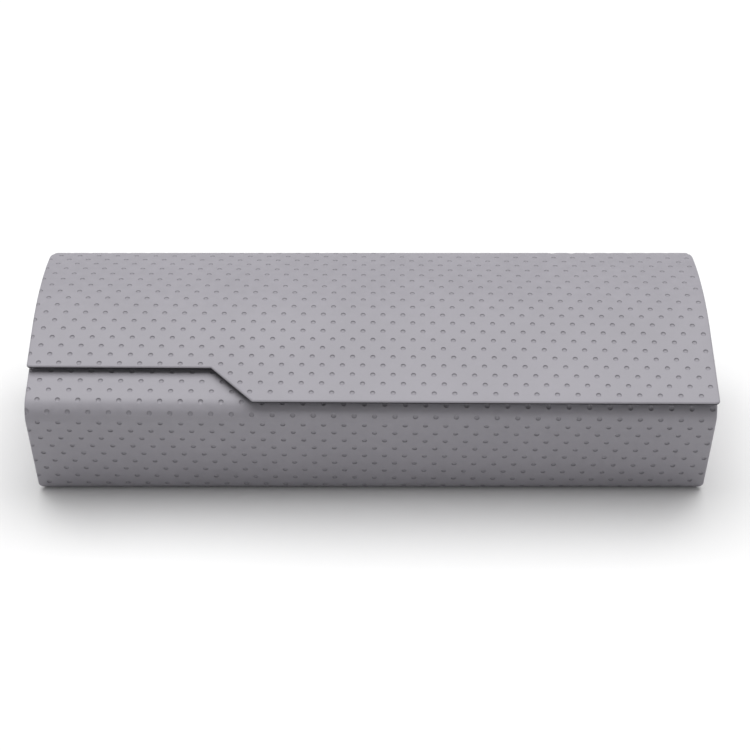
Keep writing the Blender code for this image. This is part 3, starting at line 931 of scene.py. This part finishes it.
# ---- floor pad: a thin foam cushion in flannel ----
def cushion(name, low, high, columns, rows, material):
    """Closed lens-edged cushion on a grid, filling a box."""
    centre = (Vector(low) + Vector(high)) / 2
    half = (Vector(high) - Vector(low)) / 2
    mesh = bpy.data.meshes.new(name)
    work = bmesh.new()
    made = {}
    for level in (1, -1):
        for i in range(columns + 1):
            for j in range(rows + 1):
                rim = i in (0, columns) or j in (0, rows)
                if rim and level < 0:
                    made[(i, j, -1)] = made[(i, j, 1)]
                    continue
                x = half.x * math.sin(math.pi * (i / columns - 0.5))
                y = half.y * math.sin(math.pi * (j / rows - 0.5))
                from_rim = min(half.x - abs(x), half.y - abs(y))
                puff = math.sqrt(1 - (1 - min(from_rim / (1.6 * half.z), 1)) ** 2)
                spot = centre + Vector((x, y, level * half.z * (0 if rim else puff)))
                made[(i, j, level)] = work.verts.new(spot)
    for level in (1, -1):
        for i in range(columns):
            for j in range(rows):
                corners = [made[(i + a, j + b, level)] for a, b in ((0, 0), (1, 0), (1, 1), (0, 1))]
                work.faces.new(corners if level > 0 else corners[::-1])
    work.to_mesh(mesh)
    work.free()
    mesh.materials.append(material)
    obj = bpy.data.objects.new(name, mesh)
    bpy.context.scene.collection.objects.link(obj)
    return obj


PAD_PRESSURE = 0.5
PAD_SWELL = 0.00025


def inflate(obj, pressure, most):
    """Swells a cushion by cloth simulation, with no point moving further than most."""
    cloth = obj.modifiers.new("cloth", "CLOTH")
    cloth.settings.use_pressure = True
    cloth.settings.uniform_pressure_force = pressure
    cloth.settings.effector_weights.gravity = 0
    cloth.settings.tension_stiffness = 40
    cloth.settings.quality = 4
    scene = bpy.context.scene
    for number in range(1, 16):
        scene.frame_set(number)
    swollen = obj.evaluated_get(bpy.context.evaluated_depsgraph_get()).data
    moved = [v.co.copy() for v in swollen.vertices]
    obj.modifiers.remove(cloth)
    scene.frame_set(1)
    for vertex, spot in zip(obj.data.vertices, moved):
        step = spot - vertex.co
        if step.length > most:
            step *= most / step.length
        vertex.co += step


pad_low, pad_high = (Vector(c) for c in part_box("floor_pad"))
margin = Vector((0.5, 0.4, 0.0)) * MM
pad = cushion("floor_cushion", pad_low + margin, pad_high - margin, 110, 34, flannel)
inflate(pad, PAD_PRESSURE, PAD_SWELL)
for vertex in pad.data.vertices:
    vertex.co.z = max(vertex.co.z, pad_low.z)
finer = pad.modifiers.new("finer", "SUBSURF")
finer.levels = 1
finer.render_levels = 1
pad.data.shade_smooth()
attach(pad, "tray")
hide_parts("floor_pad")

# ---- materials of the model's own pieces ----
OWN_MATERIALS = {
    "tray_shell": steel, "lid_shell": steel, "end_plate_left": steel, "end_plate_right": steel,
    "floor_card": board, "shelf_magnet_left": plating, "shelf_magnet_right": plating,
    "flap_magnet_left": plating, "flap_magnet_right": plating,
}
for name, material in OWN_MATERIALS.items():
    for slot in nodes[name].material_slots:
        slot.material = material

# ---- light, floor and background ----
world = bpy.data.worlds.new("world")
bpy.context.scene.world = world
world.use_nodes = True
world.node_tree.nodes["Background"].inputs["Color"].default_value = (1, 1, 1, 1)
world.node_tree.nodes["Background"].inputs["Strength"].default_value = 0.28
bpy.context.scene.view_settings.view_transform = "Standard"


def softbox(name, place, aim, width, height, power):
    data = bpy.data.lights.new(name, "AREA")
    data.shape = "RECTANGLE"
    data.size = width
    data.size_y = height
    data.energy = power
    lamp = bpy.data.objects.new(name, data)
    lamp.location = place
    lamp.rotation_euler = (Vector(aim) - Vector(place)).to_track_quat("-Z", "Y").to_euler()
    bpy.context.scene.collection.objects.link(lamp)


LIGHT_POWER = 21.2
softbox("top_light", (0.0, 0.2, 1.2), (0, 0, 0.02), 1.6, 1.2, LIGHT_POWER)

floor_mesh = bpy.data.meshes.new("floor")
floor_work = bmesh.new()
bmesh.ops.create_grid(floor_work, x_segments=2, y_segments=2, size=3.0)
floor_work.to_mesh(floor_mesh)
floor_work.free()
floor = bpy.data.objects.new("floor", floor_mesh)
bpy.context.scene.collection.objects.link(floor)
floor_material, floor_nodes, _ = new_material("floor")
floor_nodes["Principled BSDF"].inputs["Base Color"].default_value = (0.84, 0.84, 0.84, 1)
floor_nodes["Principled BSDF"].inputs["Roughness"].default_value = 0.9
floor_mesh.materials.append(floor_material)
